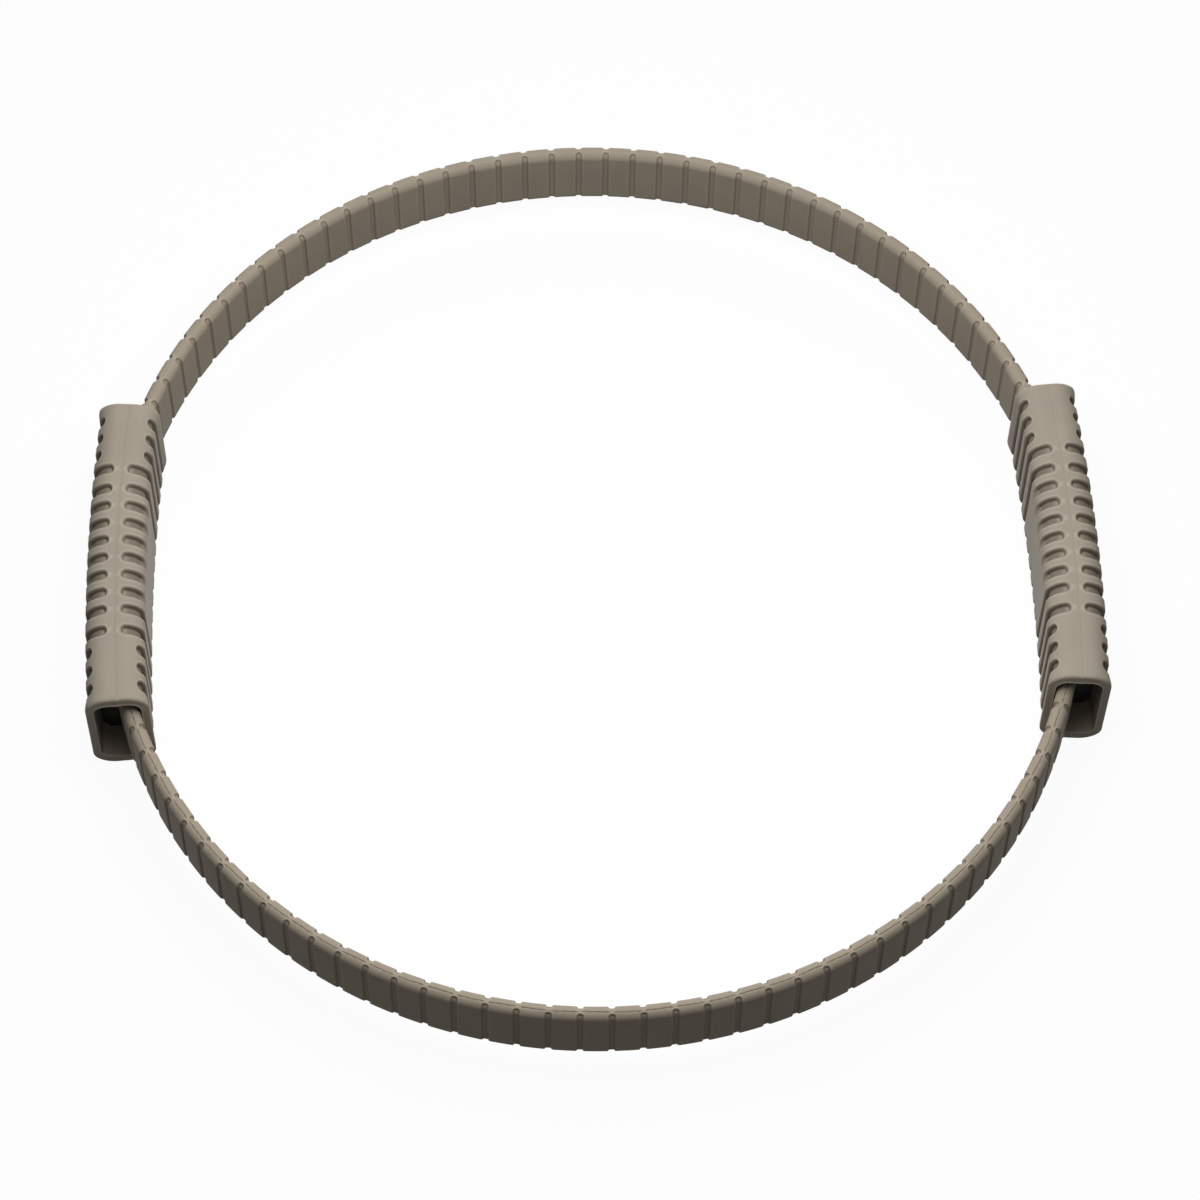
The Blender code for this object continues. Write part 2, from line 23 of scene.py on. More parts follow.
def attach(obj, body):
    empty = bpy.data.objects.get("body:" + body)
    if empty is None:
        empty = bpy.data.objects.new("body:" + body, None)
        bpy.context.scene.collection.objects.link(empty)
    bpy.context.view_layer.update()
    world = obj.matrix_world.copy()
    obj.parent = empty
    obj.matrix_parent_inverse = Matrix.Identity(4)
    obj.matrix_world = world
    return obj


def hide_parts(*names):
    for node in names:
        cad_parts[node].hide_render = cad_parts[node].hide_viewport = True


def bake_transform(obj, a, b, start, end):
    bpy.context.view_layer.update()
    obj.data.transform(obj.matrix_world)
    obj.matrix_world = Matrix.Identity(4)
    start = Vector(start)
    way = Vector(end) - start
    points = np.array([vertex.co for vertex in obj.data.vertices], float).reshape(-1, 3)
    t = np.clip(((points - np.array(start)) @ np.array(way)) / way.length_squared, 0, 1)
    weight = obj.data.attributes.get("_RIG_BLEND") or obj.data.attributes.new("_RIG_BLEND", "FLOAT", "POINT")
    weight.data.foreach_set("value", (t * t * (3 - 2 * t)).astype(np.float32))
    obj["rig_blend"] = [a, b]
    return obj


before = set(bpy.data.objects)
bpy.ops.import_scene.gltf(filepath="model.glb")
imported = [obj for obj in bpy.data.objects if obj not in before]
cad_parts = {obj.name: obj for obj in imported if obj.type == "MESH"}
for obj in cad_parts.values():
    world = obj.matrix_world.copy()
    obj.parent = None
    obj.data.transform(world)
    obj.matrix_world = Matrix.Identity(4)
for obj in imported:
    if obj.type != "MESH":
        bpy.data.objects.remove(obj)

LOG = logging.getLogger("pilates_ring")
MERGE_DISTANCE = 0.000002
# The value each silicone piece carries for its painted light and shade: painted shade below 0, painted
# highlight above 0.
PAINTED_TONE = "tone"
DARKEST = -2.0
LIGHTEST = 4.0
NOISE_LOW = 0.3
NOISE_HIGH = 0.7

# What counts as out of reach, as level and as next to nothing
FAR_OFF = 1.0
SLIGHT = 0.01
TINY = 0.0001

Array = np.ndarray
Object = bpy.types.Object
Socket = bpy.types.NodeSocket
Triple = tuple[float, float, float]


class Half(Enum):
    """The two halves of the hoop, which mirror each other."""

    FRONT = "front"
    REAR = "rear"

    @property
    def mirror(self) -> float:
        """Return the factor that takes the front half's Y to this half's."""
        return 1.0 if self is Half.FRONT else -1.0

    @property
    def chain(self) -> list[str]:
        """Return the bodies of this half in order, from the left grip to the right one."""
        last = "right_grip_end" if self is Half.FRONT else "rear_right_end"
        return ["left_grip_end", *(self.numbered("length", number) for number in range(1, 10)), last]

    def numbered(self, kind: str, number: int) -> str:
        """Return the name of this half's numbered body or piece of a kind."""
        return "%s_%s_%02d" % (self.value, kind, number)


class Side(Enum):
    """The two sides that the grips are on."""

    LEFT = "left"
    RIGHT = "right"

    @property
    def way(self) -> float:
        """Return the sign of X on this side."""
        return -1.0 if self is Side.LEFT else 1.0


class GrooveRun(Enum):
    """How a groove of a grip runs over its section."""

    LONG = "from beside the crown down the whole side"
    PANEL = "from beside the crown to a point below the corner"
    SHORT = "from the corner down the whole side"


class Ring(Enum):
    """What a ring of points is part of, from the sleeve's rim inwards."""

    RIM = "the rounding of the rim"
    FACE = "the flat face round the mouth"
    LIP = "the fine ridge at the mouth's edge"
    MOUTH = "the wider first part of the cavity"
    CORE = "the part of the cavity that holds the core"


class Slot(Enum):
    """The material slots."""

    COVER = "cover_silicone"
    GRIP = "grip_silicone"
    CORE = "core_plastic"
    STRIP = "spring_steel"
    SCREW = "screw_steel"


def smoothstep(share: Array) -> Array:
    """Return the smooth ramp from 0 to 1 at shares of its length, held at its ends."""
    held = np.clip(share, 0.0, 1.0)
    return held * held * (3.0 - 2.0 * held)


def both_ways(places: list[float]) -> list[float]:
    """Return places on both sides of zero, and zero itself, in order."""
    return sorted([0.0, *places, *(-place for place in places)])


@dataclass(frozen=True)
class RolledGroove:
    """A groove whose edges roll over in a quarter ellipse, down to a crisp flat floor."""

    half_width: float
    floor_half_width: float
    depth: float
    line_half_width: float = 0.00015
    painted_floor_shade: float = 0.3
    painted_lip_highlight: float = 1.0
    painted_corner_shade: float = 1.0
    steepest: float = 0.985
    wall_steps: int = 8

    def cuts(self) -> list[float]:
        """Find where it is cut on each side, for its floor, its rolled wall and its lip with its painted
        highlight.

        Returns:
            Distances from its middle line.
        """
        line = self.floor_half_width - 2.0 * self.line_half_width
        floor = [0.5 * line, line, self.floor_half_width - 0.4 * self.line_half_width]
        turns = np.sin(np.linspace(0.5 * math.pi, 0.0, self.wall_steps))
        wall = self.half_width - (self.half_width - self.floor_half_width) * turns
        return [*floor, *wall, *(self.half_width + step * self.line_half_width for step in (1.0, 2.0))]

    def painted_shading(self, away: Array) -> Array:
        """Tell how much painted highlight its lip gets and how much painted shade its corners and floor get.

        Args:
            away: Distances from its middle line.

        Returns:
            The painted tone at each distance: painted highlight above 0 on the lip, painted shade below 0 at
                the corners and on the floor.
        """
        from_lip = np.abs(away - self.half_width - self.line_half_width)
        lip = np.maximum(1.0 - from_lip / self.line_half_width, 0.0)
        from_corner = np.abs(away - self.floor_half_width)
        corner = np.maximum(1.0 - 0.5 * from_corner / self.line_half_width, 0.0)
        floor = np.where(away < self.floor_half_width, self.painted_floor_shade, 0.0)
        return self.painted_lip_highlight * lip - np.maximum(self.painted_corner_shade * corner, floor)

    def depths(self, away: Array) -> Array:
        """Tell how deep it is.

        Args:
            away: Distances from its middle line.

        Returns:
            The depth at each distance.
        """
        share = (self.half_width - away) / (self.half_width - self.floor_half_width)
        drop = 1.0 - np.sqrt(1.0 - (np.clip(share, 0.0, 1.0) * self.steepest) ** 2)
        return self.depth * drop / (1.0 - math.sqrt(1.0 - self.steepest ** 2))


@dataclass(frozen=True)
class PartingSeam:
    """The fine crooked crease where the two halves of a mould met."""

    half_width: float
    depth: float
    sway: float
    ripple: float
    sway_length: float = 0.0270
    ripple_length: float = 0.0047
    unevenness: float = 0.2
    uneven_rate: float = 1.7

    def drift(self, along: Array) -> Array:
        """Return how far the crease strays to one side at places along it."""
        slow = np.sin(along * (math.tau / self.sway_length))
        return self.sway * slow + self.ripple * np.sin(along * (math.tau / self.ripple_length) + 2.0 * slow)

    def depths(self, across: Array, along: Array) -> Array:
        """Tell how deep it is.

        Args:
            across: Distances from its middle line.
            along: Places along it.

        Returns:
            The depth at each point.
        """
        wave = np.sin(along * (math.tau / self.ripple_length) * self.uneven_rate)
        uneven = 1.0 - self.unevenness + self.unevenness * wave
        return self.depth * uneven * np.maximum(1.0 - np.abs(across) / self.half_width, 0.0)


def pick(*objects: Object) -> None:
    """Select these objects alone and make the first one active.

    Args:
        *objects: The objects that the next operator acts on.
    """
    bpy.ops.object.select_all(action="DESELECT")
    for obj in objects:
        obj.select_set(True)
    bpy.context.view_layer.objects.active = objects[0]


@contextmanager
def editing(obj: Object) -> Iterator[None]:
    """Hold an object in edit mode, with nothing selected at first.

    Args:
        obj: The object to edit.
    """
    pick(obj)
    bpy.ops.object.mode_set(mode="EDIT")
    bpy.ops.mesh.select_all(action="DESELECT")
    yield
    bpy.ops.object.mode_set(mode="OBJECT")


def add_box(name: str, size: Triple) -> Object:
    """Add a box primitive round the origin, with its size in its mesh.

    Args:
        name: The new object's name.
        size: The box's length along X, Y and Z.

    Returns:
        The new object.
    """
    bpy.ops.mesh.primitive_cube_add(size=1.0, location=(0.0, 0.0, 0.0))
    box = bpy.context.active_object
    box.name = name
    box.scale = size
    bpy.ops.object.transform_apply(location=False, rotation=False, scale=True)
    return box


def open_ends(axis: int) -> None:
    """Delete the end faces of the box in edit mode, and keep their edges.

    Args:
        axis: The axis that runs through the two faces, as 0, 1 or 2.
    """
    form = bmesh.from_edit_mesh(bpy.context.edit_object.data)
    bpy.ops.mesh.select_mode(type="FACE")
    for face in form.faces:
        face.select_set(abs(face.normal[axis]) > 0.9)
    bpy.ops.mesh.delete(type="ONLY_FACE")


def slice_at(axis: int, places: list[float]) -> None:
    """Cut the mesh in edit mode into slices with planes square to an axis.

    Args:
        axis: The axis that the planes are square to, as 0, 1 or 2.
        places: Where the planes lie along the axis.
    """
    normal = np.eye(3)[axis]
    for place in places:
        bpy.ops.mesh.select_all(action="SELECT")
        bpy.ops.mesh.bisect(plane_co=tuple(normal * place), plane_no=tuple(normal))


def select_edges(wanted: Callable[[bmesh.types.BMEdge], bool]) -> None:
    """Select the edges in edit mode that pass a test, and no others.

    Args:
        wanted: The test.
    """
    data = bpy.context.edit_object.data
    form = bmesh.from_edit_mesh(data)
    bpy.ops.mesh.select_mode(type="EDGE")
    bpy.ops.mesh.select_all(action="DESELECT")
    for edge in form.edges:
        edge.select_set(wanted(edge))
    bmesh.update_edit_mesh(data)


def round_long_edges(axis: int, radius: float, segments: int) -> None:
    """Bevel the four long edges of the box in edit mode to round ones.

    Args:
        axis: The axis that the edges run along, as 0, 1 or 2.
        radius: The radius of the rounding.
        segments: How many faces each rounding has.
    """
    form = bmesh.from_edit_mesh(bpy.context.edit_object.data)
    others = [other for other in range(3) if other != axis]
    reach = {other: max(abs(vert.co[other]) for vert in form.verts) for other in others}

    def on_corner(edge: bmesh.types.BMEdge) -> bool:
        """Tell whether an edge runs along one of the box's corners."""
        middle = (edge.verts[0].co + edge.verts[1].co) / 2.0
        return all(abs(abs(middle[other]) - far) < MERGE_DISTANCE for other, far in reach.items())

    select_edges(on_corner)
    bpy.ops.mesh.bevel(offset=radius, segments=segments, profile=0.5, affect="EDGES")


def select_open_loop(axis: int, place: float) -> None:
    """Select the open edges in edit mode that lie at a place along an axis.

    Args:
        axis: The axis, as 0, 1 or 2.
        place: Where the loop lies along it.
    """
    select_edges(
        lambda edge: edge.is_boundary
        and all(abs(vert.co[axis] - place) < MERGE_DISTANCE for vert in edge.verts)
    )


def read_points(obj: Object) -> Array:
    """Read the points of an object's mesh.

    Args:
        obj: The object.

    Returns:
        The points as rows of X, Y and Z.
    """
    points = np.empty(len(obj.data.vertices) * 3)
    obj.data.vertices.foreach_get("co", points)
    return points.reshape(-1, 3)


def write_points(obj: Object, points: Array) -> None:
    """Set the points of an object's mesh from rows of X, Y and Z."""
    obj.data.vertices.foreach_set("co", np.ascontiguousarray(points, dtype=np.float64).ravel())
    obj.data.update()


def write_values(obj: Object, name: str, values: Array) -> None:
    """Give an object's points one number each, which new points take over in edit mode."""
    layer = obj.data.attributes.new(name, "FLOAT", "POINT")
    layer.data.foreach_set("value", values.astype(np.float32))


def dress(obj: Object, material: bpy.types.Material) -> None:
    """Give an object one material in place of those that it has."""
    obj.data.materials.clear()
    obj.data.materials.append(material)


def finish_skin(obj: Object, material: bpy.types.Material) -> None:
    """Make the faces of a closed mesh point outwards, and shade and dress it.

    Args:
        obj: The object.
        material: Its finish.
    """
    with editing(obj):
        bpy.ops.mesh.select_all(action="SELECT")
        bpy.ops.mesh.normals_make_consistent(inside=False)
    bpy.ops.object.shade_smooth()
    dress(obj, material)


class NodeBoard:
    """The node tree of a material or of the room, filled node by node."""

    def __init__(self, owner: bpy.types.Material | bpy.types.World) -> None:
        """Turn the owner's nodes on and take its tree.

        Args:
            owner: The material or the room.
        """
        self.owner = owner
        self.owner.use_nodes = True
        self.tree = owner.node_tree

    def feed(self, node: bpy.types.Node, inputs: dict[str | int, object]) -> None:
        """Set or join a node's inputs.

        Args:
            node: The node.
            inputs: Values or outputs to join, by the input's name or number.
        """
        for name, value in inputs.items():
            if isinstance(value, Socket):
                self.tree.links.new(value, node.inputs[name])
            else:
                node.inputs[name].default_value = value

    def add(self, kind: str, inputs: dict[str | int, object], **settings: object) -> bpy.types.Node:
        """Add a node.

        Args:
            kind: The node's type.
            inputs: Values or outputs to join, by the input's name or number.
            **settings: Its own settings by name.

        Returns:
            The new node.
        """
        node = self.tree.nodes.new(kind)
        for name, value in settings.items():
            setattr(node, name, value)
        self.feed(node, inputs)
        return node

    def noise(self, size: float, detail: float) -> Socket:
        """Return noise on the object's own coordinates, with grains of a size in metres."""
        inputs = {"Vector": self.add("ShaderNodeTexCoord", {}).outputs["Object"], "Scale": 1.0 / size}
        return self.add("ShaderNodeTexNoise", {**inputs, "Detail": detail}).outputs["Fac"]

    def ramp(self, source: Socket, start: float, low: Triple, high: Triple) -> Socket:
        """Turn a value into a colour.

        Args:
            source: The value.
            start: Where the change starts, as far above 0 as it ends below 1.
            low: The colour before the change.
            high: The colour after it.

        Returns:
            The colour.
        """
        ramp = self.add("ShaderNodeValToRGB", {"Fac": source})
        stops = ((start, low), (1.0 - start, high))
        for element, (place, colour) in zip(ramp.color_ramp.elements, stops):
            element.position = place
            element.color = (*colour, 1.0)
        return ramp.outputs["Color"]

    def tint(self, colour: Socket, below: Triple, above: Triple) -> Socket:
        """Multiply a colour by a factor that follows the piece's painted light and shade.

        Args:
            colour: The colour.
            below: The factor at the darkest tone, the strongest painted shade.
            above: The factor at the lightest tone, the strongest painted highlight.

        Returns:
            The tinted colour.
        """
        tone = self.add("ShaderNodeAttribute", {}, attribute_name=PAINTED_TONE).outputs["Fac"]
        plain = (1.0, 1.0, 1.0)
        for start, stop, low, high in ((DARKEST, 0.0, below, plain), (0.0, LIGHTEST, plain, above)):
            inputs = {6: tone, 7: (start,) * 3, 8: (stop,) * 3, 9: low, 10: high}
            factor = self.add("ShaderNodeMapRange", inputs, data_type="FLOAT_VECTOR").outputs["Vector"]
            product = self.add("ShaderNodeVectorMath", {0: colour, 1: factor}, operation="MULTIPLY")
            colour = product.outputs["Vector"]
        return colour

    def span(self, source: Socket, low: float, high: float) -> Socket:
        """Return noise, whose values lie between NOISE_LOW and NOISE_HIGH, mapped to a range."""
        inputs = {"From Min": NOISE_LOW, "From Max": NOISE_HIGH, "To Min": low, "To Max": high}
        return self.add("ShaderNodeMapRange", {"Value": source, **inputs}).outputs["Result"]

    def bump(self, height: Socket, depth: float, **before: Socket) -> Socket:
        """Return the normal of a surface raised by a value, on top of a relief before it."""
        return self.add("ShaderNodeBump", {"Height": height, "Distance": depth, **before}).outputs["Normal"]

    def shade(self, **inputs: object) -> bpy.types.Material:
        """Finish the material.

        Args:
            **inputs: The surface shader's inputs by name, with _ for a blank.

        Returns:
            The material.
        """
        named = {name.replace("_", " "): value for name, value in inputs.items()}
        self.feed(self.tree.nodes["Principled BSDF"], named)
        return self.owner


@dataclass(frozen=True)
class MouldedSilicone:
    """Matte moulded silicone: a soft, faintly cloudy tone with a fine satin grain, under painted light and
    shade.
    """

    name: str
    colour: Triple
    cloud: float = 0.03
    blush: float = 0.01
    painted_highlight: float = 0.2
    painted_shade: float = 0.34
    painted_shade_warmth: Triple = (0.94, 1.0, 1.04)
    cloud_size: float = 0.018
    grain_size: float = 0.00032
    grain_depth: float = 0.000012
    ripple_size: float = 0.004
    ripple_depth: float = 0.00002
    roughness: tuple[float, float] = (0.62, 0.72)
    sheen: float = 0.16
    sheen_roughness: float = 0.28
    gloss: float = 0.16

    def material(self) -> bpy.types.Material:
        """Make the finish.

        Returns:
            The finish as a material.
        """
        board = NodeBoard(bpy.data.materials.new(self.name))
        red, green, blue = self.colour
        low, high = 1.0 - self.cloud, 1.0 + self.cloud
        rosy = (red * low * (1.0 + self.blush), green * low * (1.0 - self.blush), blue * low)
        pale = (red * high * (1.0 - self.blush), green * high, blue * high * (1.0 - self.blush))
        clouds = board.ramp(board.noise(self.cloud_size, 3.0), 0.35, rosy, pale)
        # Painted shade, a little warmer, for the darkest tone, and painted highlight for the lightest.
        corner = tuple(1.0 + DARKEST * self.painted_shade * share for share in self.painted_shade_warmth)
        lip = (1.0 + LIGHTEST * self.painted_highlight,) * 3
        grain = board.noise(self.grain_size, 2.0)
        ripple = board.bump(board.noise(self.ripple_size, 2.0), self.ripple_depth)
        return board.shade(
            Base_Color=board.tint(clouds, corner, lip),
            Roughness=board.span(grain, *self.roughness),
            Normal=board.bump(grain, self.grain_depth, Normal=ripple),
            IOR=1.41,
            Specular_IOR_Level=self.gloss,
            Sheen_Weight=self.sheen,
            Sheen_Roughness=self.sheen_roughness,
        )


@dataclass(frozen=True)
class BlackPlastic:
    """Black moulded plastic with a fine spark-eroded grain."""

    name: str
    colour: Triple = (0.010, 0.009, 0.009)
    lighter: float = 1.5
    cloud_size: float = 0.006
    grain_size: float = 0.0005
    grain_depth: float = 0.00002
    roughness: tuple[float, float] = (0.5, 0.66)
    gloss: float = 0.2

    def material(self) -> bpy.types.Material:
        """Make the finish.

        Returns:
            The finish as a material.
        """
        board = NodeBoard(bpy.data.materials.new(self.name))
        lighter = tuple(part * self.lighter for part in self.colour)
        grain = board.noise(self.grain_size, 3.0)
        return board.shade(
            Base_Color=board.ramp(board.noise(self.cloud_size, 2.0), 0.3, self.colour, lighter),
            Roughness=board.span(grain, *self.roughness),
            Normal=board.bump(grain, self.grain_depth),
            IOR=1.49,
            Specular_IOR_Level=self.gloss,
        )


@dataclass(frozen=True)
class RolledSteel:
    """Bright steel with the fine marks of rolling or turning."""

    name: str
    colour: Triple
    roughness: tuple[float, float]
    darker: float = 0.86
    mark_size: float = 0.0008
    mark_depth: float = 0.000004

    def material(self) -> bpy.types.Material:
        """Make the finish.

        Returns:
            The finish as a material.
        """
        board = NodeBoard(bpy.data.materials.new(self.name))
        darker = tuple(part * self.darker for part in self.colour)
        marks = board.noise(self.mark_size, 4.0)
        return board.shade(
            Base_Color=board.ramp(marks, 0.35, darker, self.colour),
            Roughness=board.span(marks, *self.roughness),
            Normal=board.bump(marks, self.mark_depth),
            Metallic=1.0,
        )


@dataclass
class HoopLine:
    """Middle line of the band seen from above, by length from the middle of the front half.

    It runs from the rear by the left grip, the front and the right grip to the rear again,
    as a slightly full oval.
    """

    width: float = 0.3515
    depth: float = 0.3741
    fullness: float = 0.0006
    level: float = 0.0210
    steps: int = 4000
    angles: Array = field(init=False)
    lengths: Array = field(init=False)

    def __post_init__(self) -> None:
        """Measure the oval."""
        self.angles = np.linspace(-0.5 * math.pi, 1.5 * math.pi, self.steps + 1)
        gaps = np.linalg.norm(np.diff(self.points(self.angles), axis=0), axis=1)
        self.lengths = np.concatenate(([0.0], np.cumsum(gaps)))
        self.lengths -= self.lengths[-1] / 2.0

    def points(self, angles: Array) -> Array:
        """Find points of the oval.

        Args:
            angles: Their angles about its centre.

        Returns:
            The points as rows of X and Y.
        """
        mean = (self.width + self.depth) / 4.0 + self.fullness
        oval = (self.width - self.depth) / 4.0
        radius = mean + oval * np.cos(2.0 * angles) - self.fullness * np.cos(4.0 * angles)
        return np.stack((-radius * np.cos(angles), -radius * np.sin(angles)), axis=-1)

    def lay(self, along: Array, outward: Array, up: Array, half: Half) -> Array:
        """Find points of one half of the band.

        Args:
            along: Lengths from the middle of the half, towards the right grip.
            outward: Offsets from the middle line, away from the hoop's centre.
            up: Heights above the band's middle.
            half: The half of the hoop.

        Returns:
            The points as rows of X, Y and Z.
        """
        angles = np.interp(along, self.lengths, self.angles)
        forward = self.points(angles + TINY) - self.points(angles - TINY)
        forward /= np.linalg.norm(forward, axis=-1, keepdims=True)
        middle = self.points(angles)
        x = middle[..., 0] + forward[..., 1] * outward
        y = middle[..., 1] - forward[..., 0] * outward
        return np.stack((x, y * half.mirror, up + self.level), axis=-1)


@dataclass
class BandCover:
    """The moulded cover of the hoop, grooved on both faces, in two halves.

    Each half is made in ten pieces that meet flush on the lands between grooves, and each
    piece bends over one bending place of the spring. The bends and the last land are
    counted in grooves from the middle of a half.
    """

    line: HoopLine
    material: bpy.types.Material
    thickness: float = 0.00595
    height: float = 0.0264
    edge_radius: float = 0.00285
    edge_segments: int = 20
    pitch: float = 0.0107
    groove: RolledGroove = RolledGroove(
        half_width=0.00160, floor_half_width=0.0009, depth=0.0007, painted_lip_highlight=1.1
    )
    groove_to_crown: float = 0.0005
    painted_arch_shading: float = 0.9
    shallower_below: float = 0.45
    land_cuts: tuple[float, ...] = (0.0024, 0.0031, 0.0039, 0.0047)
    seam: PartingSeam = PartingSeam(half_width=0.00034, depth=0.00036, sway=0.00016, ripple=0.00007)
    painted_crease_shade: float = 1.8
    rear_seam_share: float = 0.2
    seam_offset: float = 0.0002
    shallower_on_saddle: float = 0.8
    seam_bead: float = 0.00004
    painted_bead_highlight: float = 0.6
    crown_half_width: float = 0.0018
    crown_cuts: int = 9
    channel_thickness: float = 0.0018
    channel_height: float = 0.0206
    bends: tuple[int, ...] = (-18, -14, -10, -6, -2, 2, 6, 10, 14, 18)
    piece_before_bend: float = 1.5
    piece_after_bend: float = 2.5
    last_land: float = 23.5
    bend_reach: float = 1.45
    blanks: dict[int, Object] = field(default_factory=dict)

    def stations(self) -> list[float]:
        """Return where a bar as long as one groove is cut across, between its two ends."""
        return both_ways([*self.groove.cuts(), *self.land_cuts])

    def crown_rows(self) -> list[float]:
        """Find where the crown is cut along, halfway between the rows of its rounding.

        Returns:
            The places across the band.
        """
        flat = self.thickness / 2.0 - self.edge_radius
        step = 0.5 * math.pi / self.edge_segments
        turns = [(number + 0.5) * step for number in range(1, self.crown_cuts + 1)]
        rows = [flat + self.edge_radius * math.sin(turn) for turn in turns]
        return both_ways([*rows, self.seam.half_width])

    def outline(self, points: Array) -> tuple[Array, Array, Array]:
        """Read each point's place on the plain section.

        Args:
            points: The points of a straight bar along X.

        Returns:
            The length over the section from its crown, and the outward normal's Y and Z.
        """
        centre_y = self.thickness / 2.0 - self.edge_radius
        centre_z = self.height / 2.0 - self.edge_radius
        over_y = np.maximum(np.abs(points[:, 1]) - centre_y, 0.0)
        over_z = np.maximum(np.abs(points[:, 2]) - centre_z, 0.0)
        turn = np.arctan2(over_y, over_z)
        length = np.minimum(np.abs(points[:, 1]), centre_y) + self.edge_radius * turn
        length += np.maximum(centre_z - np.abs(points[:, 2]), 0.0)
        return length, np.sign(points[:, 1]) * np.sin(turn), np.sign(points[:, 2]) * np.cos(turn)

    def build_cell(self) -> Object:
        """Make a plain bar as long as one groove, from the middle of a land to the next.

        Returns:
            The bar, cut across where the groove comes, and open at both ends.
        """
        cell = add_box("cover_blank", (self.pitch, self.thickness, self.height))
        with editing(cell):
            open_ends(0)
            slice_at(0, self.stations())
            round_long_edges(0, self.edge_radius, self.edge_segments)
            slice_at(1, self.crown_rows())
        return cell

    def build_channel(self, length: float) -> Object:
        """Make the wall of the channel that holds the strip.

        Args:
            length: The channel's length.

        Returns:
            The channel, from X of 0 along +X and open at both ends.
        """
        channel = add_box("channel", (length, self.channel_thickness, self.channel_height))
        steps = range(1, round(2.0 * length / self.pitch))
        with editing(channel):
            open_ends(0)
            slice_at(0, [self.pitch * (step / 2.0) - length / 2.0 for step in steps])
            bpy.ops.mesh.select_all(action="SELECT")
            bpy.ops.mesh.flip_normals()
        write_points(channel, read_points(channel) + (length / 2.0, 0.0, 0.0))
        return channel

    def build_blank(self, cells: int) -> Object:
        """Make a plain bar with its channel, closed at both ends.

        Args:
            cells: How many grooves it has room for.

        Returns:
            The bar, from X of 0 along +X.
        """
        if cells in self.blanks:
            return self.blanks[cells]
        bar = self.build_cell()
        repeat = bar.modifiers.new("grooves", "ARRAY")
        repeat.count = cells
        repeat.use_relative_offset = False
        repeat.use_constant_offset = True
        repeat.constant_offset_displace = (self.pitch, 0.0, 0.0)
        repeat.use_merge_vertices = True
        repeat.merge_threshold = MERGE_DISTANCE
        pick(bar)
        bpy.ops.object.modifier_apply(modifier=repeat.name)
        write_points(bar, read_points(bar) + (self.pitch / 2.0, 0.0, 0.0))
        pick(bar, self.build_channel(self.pitch * cells))
        bpy.ops.object.join()
        with editing(bar):
            for place in (0.0, self.pitch * cells):
                select_open_loop(0, place)
                bpy.ops.mesh.mark_sharp()
                bpy.ops.mesh.bridge_edge_loops()
        bar.hide_render = True
        self.blanks[cells] = bar
        return bar

    def carve(self, points: Array, along: Array, share: float) -> tuple[Array, Array, Array]:
        """Press the grooves into a plain bar, and the parting crease, shallower on the saddles.

        Args:
            points: The bar's points.
            along: Each point's place along the half.
            share: How much of its full depth the crease has on this half.

        Returns:
            Y, Z and the painted light and shade of each point.
        """
        y, z = points[:, 1], points[:, 2]
        channel_top = self.channel_height / 2.0 + MERGE_DISTANCE
        skin = (np.abs(y) > self.channel_thickness) | (np.abs(z) > channel_top)
        length, normal_y, normal_z = self.outline(points)
        offset = np.abs(np.mod(points[:, 0], self.pitch) - self.pitch / 2.0)
        end_centre = self.groove_to_crown + self.groove.half_width
        away = np.hypot(offset, np.maximum(end_centre - length, 0.0))
        depth = skin * self.groove.depths(away) * (1.0 - self.shallower_below * np.maximum(-normal_z, 0.0))
        arch = np.clip((end_centre - length) / self.groove.half_width, 0.0, 1.0)
        on_floor = away < self.groove.floor_half_width - self.groove.line_half_width
        # Painted highlight on the lips and painted shade in the corners, both stronger round the arches; the
        # painted floor shade fades under the arches.
        tone = self.groove.painted_shading(away) * (1.0 + self.painted_arch_shading * arch)
        tone = np.where(on_floor, tone * (1.0 - arch), tone)
        across = np.where(skin & (np.abs(normal_z) > SLIGHT), y, FAR_OFF)
        near = np.maximum(1.0 - np.abs(across) / self.crown_half_width, 0.0)
        saddle = self.shallower_on_saddle * (1.0 - smoothstep(offset / self.groove.half_width))
        crease = share * self.seam.depths(across, along) * (1.0 - saddle)
        on_bead = np.abs(across + self.seam.half_width) < 0.1 * self.seam.half_width
        # Painted shade along the parting crease, and a painted highlight on the bead beside it.
        tone += self.painted_bead_highlight * share * on_bead - self.painted_crease_shade * crease / self.seam.depth
        y = y - normal_y * depth + near ** 2 * (self.seam_offset + self.seam.drift(along))
        z = z - normal_z * depth - np.sign(z) * (crease - share * self.seam_bead * on_bead)
        return y, z, skin * tone

    def build_piece(self, half: Half, number: int) -> Object:
        """Make one piece of the cover, bent over one bending place.

        Args:
            half: The half of the hoop.
            number: The bending place, from 1 at the left grip to 10 at the right one.

        Returns:
            The finished piece.
        """
        bend = self.bends[number - 1]
        first = bend - self.piece_before_bend if number > 1 else -self.last_land
        last = bend + self.piece_after_bend if number < len(self.bends) else self.last_land
        blank = self.build_blank(round(last - first))
        piece = blank.copy()
        piece.data = blank.data.copy()
        piece.name = half.numbered("band", number)
        piece.data.name = piece.name
        piece.hide_render = False
        bpy.context.scene.collection.objects.link(piece)
        points = read_points(piece)
        along = points[:, 0] + first * self.pitch
        y, z, tone = self.carve(points, along, 1.0 if half is Half.FRONT else self.rear_seam_share)
        write_points(piece, self.line.lay(along, y, z, half))
        write_values(piece, PAINTED_TONE, tone)
        finish_skin(piece, self.material)
        self.hang(piece, half, number, bend)
        return piece

